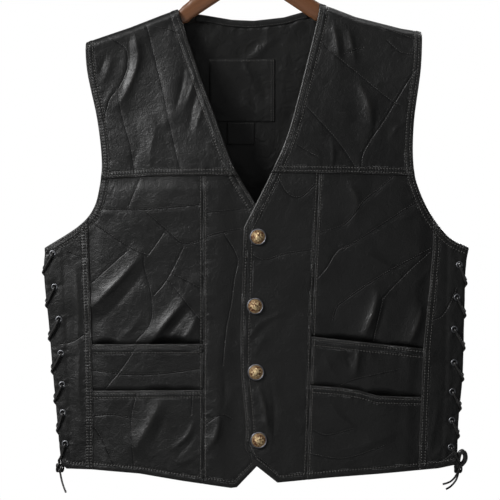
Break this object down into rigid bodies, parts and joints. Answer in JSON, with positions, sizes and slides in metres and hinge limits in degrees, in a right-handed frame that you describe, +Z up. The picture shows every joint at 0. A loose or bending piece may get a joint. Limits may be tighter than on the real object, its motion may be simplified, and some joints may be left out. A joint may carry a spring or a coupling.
{
  "type": "leather vest on a wooden hanger",
  "caption": "Black leather waistcoat with a snapped V front, stacked slit pockets and thong-laced sides, hanging on a wooden hanger.",
  "frame": {"origin": "the point under the top of the hook where it bears on its rail", "axes": "+Z up, the front of the vest faces -Y, +X to the right of a person who looks at the front"},
  "size_m": [0.5496, 0.0733, 0.7539],
  "materials": {
    "leather": "aniline black lambskin, soft sheen",
    "thong": "glossy black leather thong",
    "satin": "black satin lining",
    "eyelet": "gunmetal plated",
    "snap": "antique brass relief in a nickel rim",
    "wood": "walnut stained, satin varnish",
    "steel": "bright plated wire"
  },
  "bodies": {
    "root": {"left_yoke": "leather", "left_centre": "leather", "left_pocket_panel": "leather", "left_pocket_upper": "leather", "left_pocket_lower": "leather", "left_side_panel": "leather", "right_yoke": "leather", "right_centre": "leather", "right_pocket_panel": "leather", "right_pocket_upper": "leather", "right_pocket_lower": "leather", "right_side_panel": "leather", "back_panel": "leather", "back_neck_band": "leather", "back_lining": "satin", "lining_patch": "satin", "care_label": "satin", "snap_1": "snap", "snap_2": "snap", "snap_3": "snap", "snap_4": "snap", "left_front_eyelet_1": "eyelet", "left_front_eyelet_2": "eyelet", "left_front_eyelet_3": "eyelet", "left_front_eyelet_4": "eyelet", "left_front_eyelet_5": "eyelet", "left_front_eyelet_6": "eyelet", "left_front_eyelet_7": "eyelet", "left_back_eyelet_1": "eyelet", "left_back_eyelet_2": "eyelet", "left_back_eyelet_3": "eyelet", "left_back_eyelet_4": "eyelet", "left_back_eyelet_5": "eyelet", "left_back_eyelet_6": "eyelet", "left_back_eyelet_7": "eyelet", "right_front_eyelet_1": "eyelet", "right_front_eyelet_2": "eyelet", "right_front_eyelet_3": "eyelet", "right_front_eyelet_4": "eyelet", "right_front_eyelet_5": "eyelet", "right_front_eyelet_6": "eyelet", "right_front_eyelet_7": "eyelet", "right_back_eyelet_1": "eyelet", "right_back_eyelet_2": "eyelet", "right_back_eyelet_3": "eyelet", "right_back_eyelet_4": "eyelet", "right_back_eyelet_5": "eyelet", "right_back_eyelet_6": "eyelet", "right_back_eyelet_7": "eyelet", "left_lace": "thong", "left_knot": "thong", "right_lace": "thong", "right_knot": "thong", "left_tail": "thong", "right_tail_1": "thong", "right_tail_2": "thong", "hanger_wood": "wood", "hanger_hook": "steel"}
  },
  "joints": []
}
